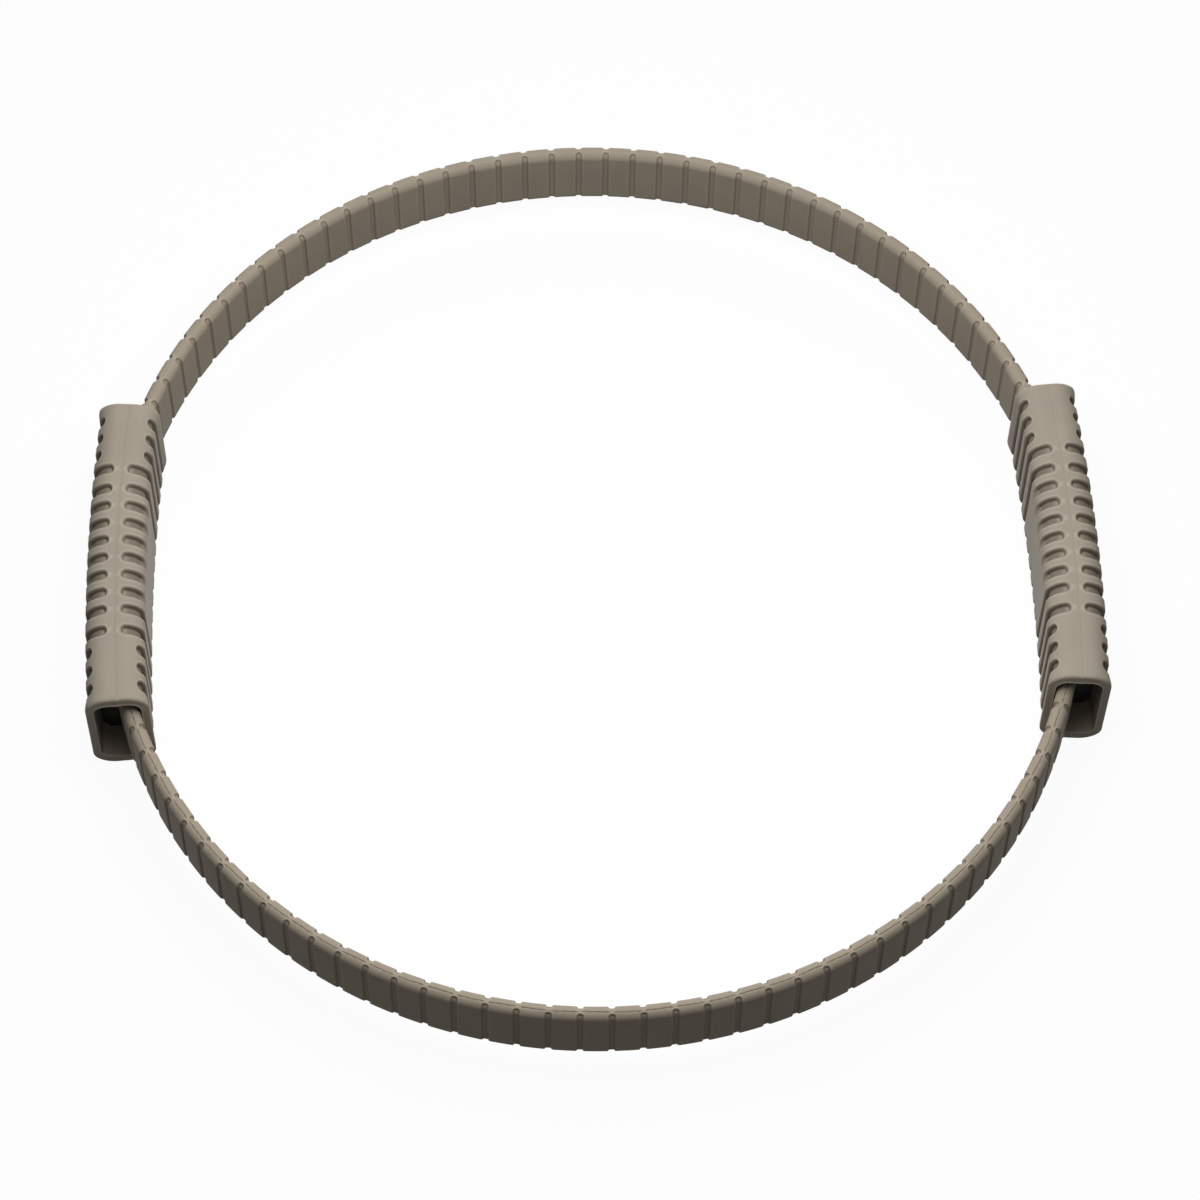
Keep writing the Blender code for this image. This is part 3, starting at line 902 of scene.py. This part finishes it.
    def hang(self, piece: Object, half: Half, number: int, bend: int) -> None:
        """Let a piece bend between the two bodies that its bending place joins.

        Args:
            piece: The piece.
            half: The half of the hoop.
            number: The bending place.
            bend: The groove that it lies at.
        """
        reach = self.bend_reach * self.pitch
        middle = bend * self.pitch
        ends = self.line.lay(np.array([middle - reach, middle + reach]), np.zeros(2), np.zeros(2), half)
        before, after = half.chain[number - 1], half.chain[number]
        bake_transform(piece, before, after, start=tuple(ends[0]), end=tuple(ends[1]))
        names = [half.numbered("cover", number - 1) if number > 1 else half.value + "_cover_left_end"]
        if number == len(self.bends):
            names.append(half.value + "_cover_right_end")
        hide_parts(*names)

    def build(self) -> list[Object]:
        """Make both halves of the cover.

        Returns:
            All their pieces.
        """
        numbers = range(1, len(self.bends) + 1)
        pieces = [self.build_piece(half, number) for half in Half for number in numbers]
        for blank in self.blanks.values():
            bpy.data.objects.remove(blank, do_unlink=True)
        return pieces


@dataclass
class GripSleeve:
    """A hollow silicone grip: a bowed sleeve with cross grooves and two open mouths."""

    side: Side
    material: bpy.types.Material
    half_length: float = 0.0645
    half_width: float = 0.0106475
    half_height: float = 0.0210
    middle_x: float = 0.17305
    bow_radius: float = 0.85471
    crown_half_width: float = 0.0026
    crown_step: float = 0.0002
    side_step: float = 0.00075
    dome_radius: float = 0.0086
    corner_radius: float = 0.0060
    corner_segments: int = 44
    groove: RolledGroove = RolledGroove(
        half_width=0.00240,
        floor_half_width=0.00152,
        depth=0.0017,
        line_half_width=0.00026,
        painted_floor_shade=0.15,
        painted_lip_highlight=1.5,
        painted_corner_shade=1.6,
        wall_steps=6,
    )
    groove_pitch: float = 0.0075
    groove_step: float = 0.0087
    long_tip: float = 0.0020
    short_tip: float = 0.0080
    panel_taper: tuple[float, float] = (0.0110, 0.0180)
    side_shade: float = 1.0
    shade_from: float = 0.0032
    shade_to: float = 0.0110
    flank_share: float = 0.45
    flare: float = 0.0006
    flare_length: float = 0.0040
    flare_cuts: tuple[float, ...] = (0.0, 0.3, 0.6, 0.8, 1.0)
    rim_radius: float = 0.0011
    rim_degrees: tuple[float, ...] = (15.0, 30.0, 45.0, 60.0, 75.0, 90.0)
    sharper_round: float = 0.6
    face_insets: tuple[float, ...] = (0.0017, 0.0006, 0.00046)
    lip_radius: float = 0.0002
    lip_ridge: float = 0.00025
    lip_degrees: tuple[float, ...] = (120.0, 90.0, 60.0, 30.0, 0.0)
    mouth_depths: tuple[float, ...] = (0.0004, 0.0045, 0.0090)
    core_places: tuple[float, ...] = (0.052, 0.039, 0.026, 0.013, 0.0)
    side_wall: float = 0.0030
    top_wall: float = 0.0038
    thicker_below: float = 0.0005
    cavity_corner: float = 0.0044
    mouth_ease: float = 0.00072
    seam: PartingSeam = PartingSeam(half_width=0.0002, depth=0.0001, sway=0.00012, ripple=0.00007)
    seam_x: float = 0.00045
    painted_crease_shade: float = 0.35
    rim_bead: float = 0.00014
    painted_bead_rim_highlight: float = 2.0
    painted_bead_face_highlight: float = 2.4
    painted_face_light: float = 1.0
    painted_highlight: float = 3.0
    painted_cavity_shade: float = -1.5
    painted_cavity_floor_light: float = 0.6
    nick_depth: float = 0.0006
    nick_half_width: float = 0.0016
    nick_unevenness: float = 0.45
    nick_rate: float = 9.0

    def grooves(self) -> list[tuple[float, GrooveRun]]:
        """List the grooves in order along the grip.

        Returns:
            Each groove's place and how it runs.
        """
        runs = [GrooveRun.PANEL] * 3 + [GrooveRun.LONG]
        right = [((number + 0.5) * self.groove_pitch, run) for number, run in enumerate(runs)]
        last = right[-1][0] + self.groove_step
        right.append((last, GrooveRun.LONG))
        right += [(last + number * self.groove_pitch, GrooveRun.SHORT) for number in range(1, 4)]
        return [(-place, run) for place, run in reversed(right)] + right

    def stations(self) -> list[float]:
        """Find where the sleeve's outer skin is cut across, between its two ends.

        Returns:
            The places along the grip.
        """
        offsets = both_ways(self.groove.cuts())
        places = [middle + offset for middle, _ in self.grooves() for offset in offsets]
        end = self.half_length - self.rim_radius
        for share in self.flare_cuts:
            place = end - self.flare_length * (1.0 - share)
            places += [place, -place]
        return sorted(places)

    def arc(self, kind: Ring, end: float, radius: float, degrees: tuple[float, ...]) -> list[tuple]:
        """List the rings of a rounding.

        Args:
            kind: What the rings are part of.
            end: Their outermost place along the grip.
            radius: The radius of the rounding.
            degrees: Each ring's place on the rounding, of which 90 is outermost.

        Returns:
            Each ring's kind, its place along the grip and its inset.
        """
        rings = []
        for turn in (math.radians(angle) for angle in degrees):
            rings.append((kind, end - radius * (1.0 - math.sin(turn)), radius * (1.0 - math.cos(turn))))
        return rings

    def rings(self) -> list[tuple[Ring, float, float]]:
        """List the rings of points from the rim inwards.

        Returns:
            Each ring's kind, its place along the grip and its inset.
        """
        end = self.half_length
        return [
            *self.arc(Ring.RIM, end, self.rim_radius, self.rim_degrees),
            *((Ring.FACE, end, inset) for inset in self.face_insets),
            *self.arc(Ring.LIP, end + self.lip_ridge, self.lip_radius, self.lip_degrees),
            *((Ring.MOUTH, end - depth, 0.0) for depth in self.mouth_depths),
            *((Ring.CORE, place, 0.0) for place in self.core_places),
        ]

    def shape_section(self, turn: Array, share_x: Array, share_z: Array) -> tuple[Array, Array, Array]:
        """Find the points' places on the outer section.

        Args:
            turn: How far round the corner each point lies, from the crown.
            share_x: How far over the flat of the crown it lies.
            share_z: How far up the flat of the side it lies.

        Returns:
            X, Z and the length over the section from its crown, each without a sign.
        """
        rise = self.dome_radius - self.corner_radius
        shift = self.half_width - self.corner_radius - self.crown_half_width
        change = math.asin(shift / rise)
        corner_z = self.half_height - self.dome_radius + math.sqrt(rise ** 2 - shift ** 2)
        on_dome = turn <= change
        x = share_x * self.crown_half_width + np.where(
            on_dome, self.dome_radius * np.sin(turn), shift + self.corner_radius * np.sin(turn)
        )
        z = np.where(
            on_dome,
            self.half_height - self.dome_radius * (1.0 - np.cos(turn)),
            share_z * corner_z + self.corner_radius * np.cos(turn),
        )
        length = share_x * self.crown_half_width
        length += self.dome_radius * np.minimum(turn, change)
        length += self.corner_radius * np.maximum(turn - change, 0.0)
        length += (1.0 - share_z) * corner_z
        return x, z, length

    def carve(self, along: Array, length: Array) -> tuple[Array, Array]:
        """Find how deep the grooves are at points of the outer skin, and their painted light and shade.

        Args:
            along: The points' places along the grip.
            length: Their lengths over the section from its crown.

        Returns:
            The depth at each point, and the painted tone: painted highlight above 0 on a lip, painted shade
            below 0 in a corner or on a floor.
        """
        depths = np.zeros(len(along))
        painted_shading = np.zeros(len(along))
        start, stop = self.panel_taper
        # Painted shade on the groove floors, rising a little way down the sides and easing on the flank.
        shade = smoothstep((length - self.shade_from) / self.shade_from)
        shade *= 1.0 - (1.0 - self.flank_share) * smoothstep((length - self.shade_to) / self.shade_from)
        for middle, run in self.grooves():
            tip = self.short_tip if run is GrooveRun.SHORT else self.long_tip
            end_centre = tip + self.groove.half_width
            full = np.ones(len(along))
            if run is GrooveRun.PANEL:
                full = 1.0 - smoothstep((length - start) / (stop - start))
            away = np.hypot(along - middle, np.maximum(end_centre - length, 0.0))
            away = away / np.sqrt(np.maximum(full, TINY))
            depths = np.maximum(depths, full * self.groove.depths(away))
            # Painted highlight on the lips and painted shade in the corners and on the floors.
            painted_shading += full * self.groove.painted_shading(away)
            on_floor = np.clip((self.groove.half_width - away) / self.groove.floor_half_width, 0.0, 1.0)
            painted_shading -= self.side_shade * full * on_floor * shade
        return depths, painted_shading

    def build_box(self) -> Object:
        """Make the plain sleeve: a box cut into slices, with round long edges and open ends.

        Returns:
            The box.
        """
        size = (2.0 * self.half_width, 2.0 * self.half_length, 2.0 * self.half_height)
        box = add_box(self.side.value + "_sleeve", size)
        near_seam = [self.seam_x + side * self.seam.half_width for side in (-1.0, 0.0, 1.0)]
        crown_rows = both_ways([self.crown_step * step for step in range(9, 13)])
        with editing(box):
            open_ends(1)
            slice_at(1, self.stations())
            round_long_edges(1, self.half_width - self.crown_half_width, self.corner_segments)
            slice_at(0, sorted(near_seam + crown_rows))
            slice_at(2, both_ways([self.side_step * step for step in range(9, 17)]))
        write_values(box, "ring", np.zeros(len(box.data.vertices)))
        return box

    def add_rings(self, box: Object) -> None:
        """Extrude both end loops of the plain sleeve into its rims and its cavity.

        Args:
            box: The plain sleeve.
        """
        with editing(box):
            for end in (1.0, -1.0):
                select_open_loop(1, end * self.half_length)
                for number in range(1, len(self.rings()) + 1):
                    bpy.ops.mesh.extrude_edges_indiv()
                    form = bmesh.from_edit_mesh(box.data)
                    layer = form.verts.layers.float["ring"]
                    for vert in form.verts:
                        if vert.select:
                            vert[layer] = end * number
                    bmesh.update_edit_mesh(box.data)

    def place_points(self, box: Object) -> None:
        """Give the sleeve its section, grooves, rims and cavity, and then its bow.

        Args:
            box: The plain sleeve with its rings.
        """
        points = read_points(box)
        along, far_x, far_z = points[:, 1], np.abs(points[:, 0]), np.abs(points[:, 2])
        sign_x, sign_z = np.sign(points[:, 0]), np.sign(points[:, 2])
        flat_x = self.crown_half_width
        flat_z = self.half_height - self.half_width + flat_x
        turn = np.arctan2(np.maximum(far_x - flat_x, 0.0), np.maximum(far_z - flat_z, 0.0))
        share_x, share_z = np.minimum(far_x / flat_x, 1.0), np.minimum(far_z / flat_z, 1.0)
        x, z, length = self.shape_section(turn, share_x, share_z)
        normal_x, normal_z = np.sin(turn), np.cos(turn)
        ring = np.empty(len(points))
        layer = box.data.attributes["ring"]
        layer.data.foreach_get("value", ring)
        box.data.attributes.remove(layer)
        skin = ring == 0.0
        outside = skin.copy()
        edge = self.half_length - self.rim_radius
        along = np.where(skin, np.clip(along, -edge, edge), along)
        flare = self.flare * smoothstep((np.abs(along) - edge + self.flare_length) / self.flare_length)
        widen = 1.0 + flare / self.half_width
        depth, tone = self.carve(along, length)
        from_seam = np.where(turn < SLIGHT, sign_x * x - self.seam_x, FAR_OFF)
        on_seam = np.abs(from_seam) < 0.5 * self.seam.half_width
        crease = self.seam.depths(from_seam, along)
        depth = np.where(skin, depth + crease, 0.0)
        # Painted shade along the parting crease.
        tone = np.where(skin, tone - self.painted_crease_shade * crease / self.seam.depth, 0.0)
        bottom = smoothstep(-sign_z * normal_z)
        crownward = smoothstep(sign_z * normal_z)
        # Painted shade inside the mouth, turning to painted light towards its floor.
        painted_cavity_shading = self.painted_cavity_shade + (self.painted_cavity_floor_light - self.painted_cavity_shade) * bottom
        for number, (kind, place, inset) in enumerate(self.rings(), 1):
            here = np.abs(ring) == number
            end = np.sign(ring[here])
            if kind is Ring.RIM:
                outside |= here
                bead = np.where(on_seam[here], self.rim_bead, 0.0)
                rounding = 1.0 - self.sharper_round * (1.0 - crownward[here])
                outward = 1.0 - (self.half_length - place) / self.rim_radius
                short = (self.half_length - place) * rounding - bead * outward
                along[here] = end * (self.half_length - short)
                depth[here] = inset * rounding - np.minimum(bead, 0.5 * inset * rounding)
                # Painted highlight on the rim's parting bead, and painted light growing over the rounding
                # towards the face.
                tone[here] = np.where(on_seam[here], self.painted_bead_rim_highlight, self.painted_face_light * outward)
                continue
            along[here] = end * place
            widen[here] = 1.0
            ease = 0.0 if kind is Ring.CORE else self.mouth_ease
            radius = self.cavity_corner + inset
            flat_x = self.half_width - self.side_wall + ease + inset - radius
            flat_z = self.half_height - self.top_wall + inset - radius
            x[here] = share_x[here] * flat_x + radius * normal_x[here]
            z[here] = share_z[here] * flat_z + radius * normal_z[here]
            tone[here] = painted_cavity_shading[here]
            if kind is not Ring.CORE:
                z[here] -= self.thicker_below * bottom[here]
            if kind is Ring.LIP:
                # Painted highlight along the lip at the mouth's edge.
                tone[here] = self.painted_highlight
                z[here] -= self.nick(sign_x[here] * x[here], sign_z[here])
            if kind is Ring.FACE:
                # Painted light on the face round the mouth, with a painted highlight on its parting bead.
                tone[here] = np.where(on_seam[here], self.painted_bead_face_highlight, self.painted_face_light)
        near_crown = np.maximum(1.0 - np.abs(x) / self.crown_half_width, 0.0)
        sway = np.where(outside, self.seam.drift(along) * near_crown, 0.0)
        across = sign_x * (x * widen - normal_x * depth) + sway
        up = sign_z * (z - normal_z * depth)
        write_points(box, self.bow(along, across, up))
        write_values(box, PAINTED_TONE, tone)

    def nick(self, across: Array, sign_z: Array) -> Array:
        """Tell how far the torn flash at the parting line hangs into the mouth.

        Args:
            across: Places across the mouth's edge.
            sign_z: 1 on the upper edge and -1 on the lower one.

        Returns:
            The depth of the flash at each point.
        """
        share = np.clip(np.abs(across - self.seam_x) / self.nick_half_width, 0.0, 1.0)
        wave = np.sin(across / self.nick_half_width * self.nick_rate)
        ragged = 1.0 - self.nick_unevenness + self.nick_unevenness * wave
        return np.where(sign_z > 0.0, self.nick_depth * ragged * (1.0 - share ** 2), 0.0)

    def bow(self, along: Array, across: Array, up: Array) -> Array:
        """Bend the straight sleeve to its bow and set it in its place.

        Args:
            along: The points' places along the grip.
            across: Their places across it.
            up: Their heights above its middle.

        Returns:
            The points as rows of X, Y and Z.
        """
        way = self.side.way
        turn = along / self.bow_radius
        centre = way * (self.middle_x - self.bow_radius)
        x = centre + (way * self.bow_radius + across) * np.cos(turn)
        y = (self.bow_radius + way * across) * np.sin(turn)
        return np.column_stack((x, y, up + self.half_height))

    def build(self) -> Object:
        """Make the sleeve, finish it and let it ride with its grip.

        Returns:
            The sleeve.
        """
        box = self.build_box()
        self.add_rings(box)
        self.place_points(box)
        with editing(box):
            bpy.ops.mesh.select_all(action="SELECT")
            bpy.ops.mesh.remove_doubles(threshold=MERGE_DISTANCE)
        finish_skin(box, self.material)
        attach(box, self.side.value + "_grip_end")
        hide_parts(self.side.value + "_grip")
        return box


@dataclass
class Carcass:
    """What the silicone hides: the cores, strips and screws, which keep their shapes."""

    plastic: BlackPlastic
    strip_steel: RolledSteel
    screw_steel: RolledSteel

    def build(self) -> dict[str, int]:
        """Give the nodes their finishes.

        Returns:
            How many nodes have each finish.
        """
        finishes = (self.plastic, self.strip_steel, self.screw_steel)
        slots = (Slot.CORE, Slot.STRIP, Slot.SCREW)
        counts = {}
        for word, finish, slot in zip(("_core_", "_strip_", "_screw_"), finishes, slots):
            material = finish.material()
            nodes = [node for name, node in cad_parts.items() if word in name]
            for node in nodes:
                dress(node, material)
            counts[finish.name] = len(nodes)
        return counts


@dataclass(frozen=True)
class SoftLamp:
    """A round soft lamp that faces the middle of the hoop."""

    name: str
    size: float
    power: float
    place: Triple

    def build(self) -> None:
        """Hang the lamp."""
        data = bpy.data.lights.new(self.name, "AREA")
        data.shape = "DISK"
        data.size = self.size
        data.energy = self.power
        lamp = bpy.data.objects.new(self.name, data)
        bpy.context.scene.collection.objects.link(lamp)
        turn = Vector(self.place).to_track_quat("Z", "Y").to_matrix().to_4x4()
        lamp.matrix_world = Matrix.Translation(self.place) @ turn


@dataclass
class Studio:
    """The pale floor, the two soft lamps, the dim room and the camera of the photograph."""

    hoop_radius: float = 0.182
    yaw: float = math.radians(2.721)
    roll: float = math.radians(0.966)
    eye: Triple = (0.01347, -4.13922, 6.29695)
    target: Triple = (0.01347, -0.07438, 0.0)
    lens: float = 112.19
    sensor: float = 36.0
    nearest: float = 0.05
    farthest: float = 50.0
    level: float = 0.0210
    lamps: tuple[SoftLamp, ...] = (
        SoftLamp("soft_box", 0.4, 1.74, (0.0, 0.012, 0.43)),
        SoftLamp("rear_soft_box", 1.0, 18.6, (0.0, 2.2, 1.29)),
    )
    room_strength: float = 0.14
    floor_size: float = 12.0
    floor_gap: float = 0.0003
    floor_tone: float = 0.18
    floor_white: float = 0.95
    floor_shadow: float = 0.05
    floor_roughness: float = 0.9

    def unturn(self, place: Triple) -> Vector:
        """Take a place from the camera's frame, in hoop radii, to the part's frame."""
        turned = Matrix.Rotation(-self.yaw, 3, "Z") @ Vector(place) * self.hoop_radius
        return turned + Vector((0.0, 0.0, self.level))

    def place_camera(self) -> None:
        """Add the camera at the photograph's place, turned to its target and rolled."""
        eye, target = self.unturn(self.eye), self.unturn(self.target)
        forward = (target - eye).normalized()
        across = forward.cross(Vector((0.0, 0.0, 1.0))).normalized()
        up = across.cross(forward)
        right = across * math.cos(self.roll) + up * math.sin(self.roll)
        top = up * math.cos(self.roll) - across * math.sin(self.roll)
        data = bpy.data.cameras.new("camera")
        data.lens = self.lens
        data.sensor_width = self.sensor
        data.clip_start = self.nearest
        data.clip_end = self.farthest
        camera = bpy.data.objects.new("camera", data)
        bpy.context.scene.collection.objects.link(camera)
        camera.matrix_world = Matrix.Translation(eye) @ Matrix((right, top, -forward)).transposed().to_4x4()
        bpy.context.scene.camera = camera

    def white_to_the_eye(self, board: NodeBoard) -> Socket:
        """Add the test for rays that end at the camera, straight or by gloss or glass.

        Args:
            board: The nodes of the floor or the room.

        Returns:
            A value of 1 for such rays and 0 for others.
        """
        path = board.add("ShaderNodeLightPath", {})
        seen = path.outputs["Is Camera Ray"]
        for name in ("Is Glossy Ray", "Is Transmission Ray"):
            either = board.add("ShaderNodeMath", {0: seen, 1: path.outputs[name]}, operation="MAXIMUM")
            seen = either.outputs[0]
        return seen

    def build_floor(self) -> None:
        """Add the floor: white to the eye with a faint shadow, and dim to all other light."""
        bpy.ops.mesh.primitive_plane_add(size=self.floor_size, location=(0.0, 0.0, -self.floor_gap))
        floor = bpy.context.active_object
        floor.name = "floor"
        board = NodeBoard(bpy.data.materials.new("floor_paper"))
        seen = self.white_to_the_eye(board)
        dim, pale = ((tone, tone, tone, 1.0) for tone in (self.floor_tone, self.floor_white))
        tone = board.add("ShaderNodeMix", {"Factor": seen, "A": dim, "B": pale}, data_type="RGBA")
        board.shade(
            Base_Color=tone.outputs["Result"], Roughness=self.floor_roughness, Specular_IOR_Level=0.0
        )
        share = board.add("ShaderNodeMath", {0: seen, 1: 1.0 - self.floor_shadow}, operation="MULTIPLY")
        paper = board.tree.nodes["Principled BSDF"]
        white = board.add("ShaderNodeEmission", {"Strength": 1.0})
        ends = {1: paper.outputs[0], 2: white.outputs[0]}
        mix = board.add("ShaderNodeMixShader", {0: share.outputs[0], **ends})
        board.feed(board.tree.nodes["Material Output"], {"Surface": mix.outputs[0]})
        floor.data.materials.append(board.owner)

    def build_room(self) -> None:
        """Make the room a dim even grey that looks white to the eye."""
        world = bpy.data.worlds.new("room")
        bpy.context.scene.world = world
        board = NodeBoard(world)
        inputs = {"Factor": self.white_to_the_eye(board), "A": self.room_strength, "B": 1.0}
        strength = board.add("ShaderNodeMix", inputs).outputs["Result"]
        board.feed(board.tree.nodes["Background"], {"Strength": strength, "Color": (1.0, 1.0, 1.0, 1.0)})

    def build(self) -> None:
        """Set up the whole studio."""
        self.place_camera()
        self.build_floor()
        self.build_room()
        for lamp in self.lamps:
            lamp.build()
        bpy.context.scene.view_settings.view_transform = "Standard"


def main() -> None:
    """Build the ring's pieces in order and report each one."""
    logging.basicConfig(level=logging.INFO, format="%(message)s")
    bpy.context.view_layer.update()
    Studio().build()
    silicone = MouldedSilicone("cover_silicone", (0.356, 0.306, 0.240)).material()
    for piece in BandCover(HoopLine(), silicone).build():
        LOG.info("%s: %d faces", piece.name, len(piece.data.polygons))
    silicone = MouldedSilicone("grip_silicone", (0.355, 0.311, 0.252)).material()
    for side in Side:
        sleeve = GripSleeve(side, silicone).build()
        LOG.info("%s: %d faces", sleeve.name, len(sleeve.data.polygons))
    carcass = Carcass(
        BlackPlastic("core_plastic"),
        RolledSteel("spring_steel", (0.46, 0.47, 0.49), (0.3, 0.42)),
        RolledSteel("screw_steel", (0.62, 0.61, 0.59), (0.24, 0.36)),
    )
    for finish, count in carcass.build().items():
        LOG.info("%s: %d nodes", finish, count)


if __name__ == "__main__":
    main()
